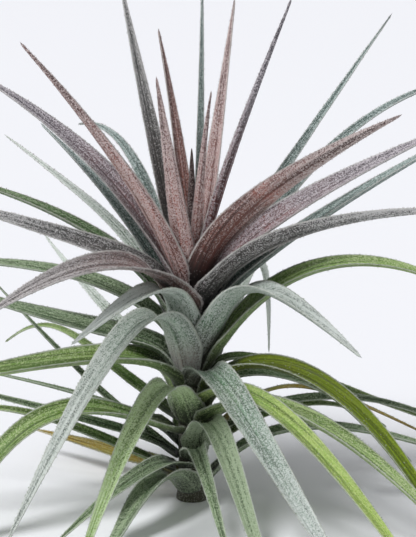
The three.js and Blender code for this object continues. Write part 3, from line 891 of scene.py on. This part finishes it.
def turned(name, profile, sides):
    """A closed solid of revolution from (radius, height) pairs that start and end on the axis."""
    inner = profile[1:-1]
    points = [(0, 0, profile[0][1] * MM)]
    for radius, z in inner:
        for k in range(sides):
            turn = 2 * math.pi * k / sides
            points.append((radius * MM * math.cos(turn), radius * MM * math.sin(turn), z * MM))
    points.append((0, 0, profile[-1][1] * MM))
    faces = []
    for k in range(sides):
        k2 = (k + 1) % sides
        faces.append((0, 1 + k2, 1 + k))
        for r in range(len(inner) - 1):
            a, b = 1 + r * sides, 1 + (r + 1) * sides
            faces.append((a + k, a + k2, b + k2, b + k))
        top = 1 + (len(inner) - 1) * sides
        faces.append((top + k, top + k2, len(points) - 1))
    mesh = bpy.data.meshes.new(name)
    mesh.from_pydata(points, [], faces)
    mesh.shade_smooth()
    piece = bpy.data.objects.new(name, mesh)
    bpy.context.scene.collection.objects.link(piece)
    return piece


profile = [(0, 0)]
for i in range(STEM_LEVELS):
    z = STEM_HEIGHT * i / STEM_LEVELS
    lip = RING_LIP * (1 - (z / RING_SPACING) % 1) ** 3
    radius = stem_radius(z) - BARK_INSET + lip * ease(z, 0, RINGS_FULL_BY)
    profile.append((max(radius, BARK_INSET), z))
profile.append((0, STEM_HEIGHT))
stem = turned("stem_bark", profile, STEM_SIDES)
print("stem rings:", round(STEM_HEIGHT / RING_SPACING))

# %% [markdown]
# The youngest leaf is still rolled up. It is a dark spear, and the edge of the roll winds round it
# as a fine ridge. The same turned solid serves, with the roll's ridge pushed out in mesh code.

# %% Spear
SPEAR_LENGTH = 54
SPEAR_RADIUS = 3
SPEAR_FOOT_SHARE = 0.45
SPEAR_SWELL = 0.4
SPEAR_TAPER = 0.6
SPEAR_POINT_SHARE = 0.985
SPEAR_SIDES = 32
SPEAR_LEVELS = 60
FOOT_CAP = 0.01
POINT_CAP = 0.5
ROLL_TURNS = 1.2
ROLL_START = 0.6
ROLL_RIDGE = 0.16

profile = [(0, STEM_HEIGHT + SEAT_GAP)]
for i in range(SPEAR_LEVELS + 1):
    t = i / SPEAR_LEVELS
    height = STEM_HEIGHT + SEAT_GAP + FOOT_CAP + (SPEAR_LENGTH - POINT_CAP) * t
    swell = mix(SPEAR_FOOT_SHARE, 1, ease(t, 0, SPEAR_SWELL))
    profile.append((SPEAR_RADIUS * swell * (1 - SPEAR_POINT_SHARE * t) ** SPEAR_TAPER, height))
profile.append((0, STEM_HEIGHT + SEAT_GAP + SPEAR_LENGTH))
spear = turned("heart_spear_roll", profile, SPEAR_SIDES)
for vertex in spear.data.vertices:
    radius = math.hypot(vertex.co.x, vertex.co.y)
    if radius > 0.1 * MM:
        t = (vertex.co.z / MM - STEM_HEIGHT) / SPEAR_LENGTH
        around = math.atan2(vertex.co.y, vertex.co.x) / (2 * math.pi)
        turn = (around - ROLL_TURNS * t - ROLL_START) % 1
        grow = 1 + ROLL_RIDGE * (turn - 0.5) * (1 - t)
        vertex.co.x *= grow
        vertex.co.y *= grow
print("spear length:", SPEAR_LENGTH, "mm")

# %% [markdown]
# Both need a finish of their own, on object coordinates, because they have no leaf attributes. The
# bark is dry and matt, grey-brown with fine upright fibres 0.5 mm apart, and old felt clings to it.
# The rolled leaf is dark, young tissue with fibres 0.4 mm apart and the first tufts of its felt.

# %% Bark and spear finishes
FIBRE_SWAY = 60


def upright_finish(name, dark, light, felt, cover, fibre):
    """Fibres that run up the piece, with tufts of felt over them."""
    material, tree = new_material(name)
    place = add(tree, "ShaderNodeTexCoord")["Object"]
    drawn = add(tree, VECTOR, (place, (1000 / fibre, 1000 / fibre, FIBRE_SWAY)), operation="MULTIPLY")[0]
    fibres = add(tree, NOISE, {"Vector": drawn, "Scale": 1.0, "Detail": 3.0})[0]
    links = {"Factor": fibres, "A": linear(dark), "B": linear(light)}
    tissue = add(tree, BLEND, links, **PAINT)["Result"]
    links = {"Vector": place, "Scale": 1000 / TUFT_SPACING}
    tufts = add(tree, "ShaderNodeTexVoronoi", links)["Color"]
    chance = add(tree, "ShaderNodeSeparateColor", {"Color": tufts})[0]
    links = {"Value": chance, "From Min": 0.9 - cover, "From Max": 1.1 - cover, "To Max": 0.85}
    silver = add(tree, SPREAD, links, **SOFT)[0]
    links = {"Factor": silver, "A": tissue, "B": linear(felt)}
    colour = add(tree, BLEND, links, **PAINT)["Result"]
    height = add(tree, MATH, (fibres, silver), operation="ADD")[0]
    links = {"Height": height, "Strength": 0.7, "Distance": 0.15 * MM}
    relief = add(tree, "ShaderNodeBump", links)[0]
    shader = {"Base Color": colour, "Roughness": 0.8, "Normal": relief, "Sheen Weight": 0.2}
    surface = add(tree, "ShaderNodeBsdfPrincipled", shader)[0]
    add(tree, "ShaderNodeOutputMaterial", {"Surface": surface})
    return material


woody = ("#1d1b14", "#4c4a38", "#8f9181", 0.2, 0.5)
young = ("#150c0b", "#402a26", "#a0908c", 0.22, 0.4)
bark = upright_finish("stem bark, dried in upright fibres", *woody)
rolled = upright_finish("rolled leaf, scale felt on dark tissue", *young)
stem.data.materials.append(bark)
spear.data.materials.append(rolled)
for piece, node, slot in ((stem, "stem", "stem"), (spear, "heart_spear", "heart_leaf")):
    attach(piece, "root")
    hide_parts(node)
print("finished:", stem.name, "and", spear.name)

# %% [markdown]
# The studio has a white paper floor that runs far back, so that no horizon shows. A soft key light,
# 20 degrees wide, comes from the upper left in front, and a weak fill, much wider, from the right.
# Both lights are far away, so the paper is lit alike all over.

# %% Floor and world
floor_mesh = bpy.data.meshes.new("studio floor")
reach = 20.0
corners = [(-reach, -reach, 0), (reach, -reach, 0), (reach, reach, 0), (-reach, reach, 0)]
floor_mesh.from_pydata(corners, [], [(0, 1, 2, 3)])
floor = bpy.data.objects.new("studio_floor", floor_mesh)
bpy.context.scene.collection.objects.link(floor)
floor_finish = bpy.data.materials.new("studio paper, matt coated white")
floor_finish.use_nodes = True
paper = floor_finish.node_tree.nodes["Principled BSDF"]
paper.inputs["Base Color"].default_value = linear("#f8f9fb")
paper.inputs["Roughness"].default_value = 0.9
floor.data.materials.append(floor_finish)

world = bpy.data.worlds.new("soft studio")
bpy.context.scene.world = world
world.use_nodes = True
sky = world.node_tree.nodes["Background"]
sky.inputs["Color"].default_value = linear("#f6f6fa")
sky.inputs["Strength"].default_value = 0.34


def far_light(name, toward, spread, strength, tint):
    """A light so far away that it reaches the whole floor alike, with shadows softened by its spread."""
    data = bpy.data.lights.new(name, "SUN")
    data.angle = math.radians(spread)
    data.energy = strength
    data.color = linear(tint)[:3]
    lamp = bpy.data.objects.new(name, data)
    lamp.rotation_euler = Vector(toward).to_track_quat("-Z", "Y").to_euler()
    bpy.context.scene.collection.objects.link(lamp)
    return lamp


far_light("key", (0.5, 0.45, -1.0), 20, 2.5, "#fcfcff")
far_light("fill", (-0.9, 0.35, -0.5), 80, 0.25, "#f3f7ff")
print("lights: key and fill")

# %% [markdown]
# The camera stands 0.62 m away and looks down by 12 degrees. The picture is 416 by 537 pixels, and
# the lens is chosen so that a millimetre at the stem covers the same share of the picture as in the
# photograph.

# %% Camera
CAMERA_DISTANCE = 620
LOOKS_DOWN_BY = 12
AIM = (6.72, 0, 101.45)
MM_PER_PIXEL = 0.42
PICTURE_HEIGHT = 537
SENSOR_WIDTH = 36

back = round(CAMERA_DISTANCE * math.cos(math.radians(LOOKS_DOWN_BY)), 2)
above = round(CAMERA_DISTANCE * math.sin(math.radians(LOOKS_DOWN_BY)), 2)
view_data = bpy.data.cameras.new("view")
view_data.sensor_width = SENSOR_WIDTH
view_data.lens = round(SENSOR_WIDTH * CAMERA_DISTANCE / (MM_PER_PIXEL * PICTURE_HEIGHT), 2)
view = bpy.data.objects.new("view", view_data)
view.location = (AIM[0] * MM, (AIM[1] - back) * MM, (AIM[2] + above) * MM)
target = Vector([c * MM for c in AIM])
view.rotation_euler = (target - view.location).to_track_quat("-Z", "Y").to_euler()
bpy.context.scene.collection.objects.link(view)
bpy.context.scene.camera = view
bpy.context.scene.view_settings.view_transform = "Standard"
print("camera at", [round(c, 3) for c in view.location], "lens:", round(view_data.lens, 2), "mm")
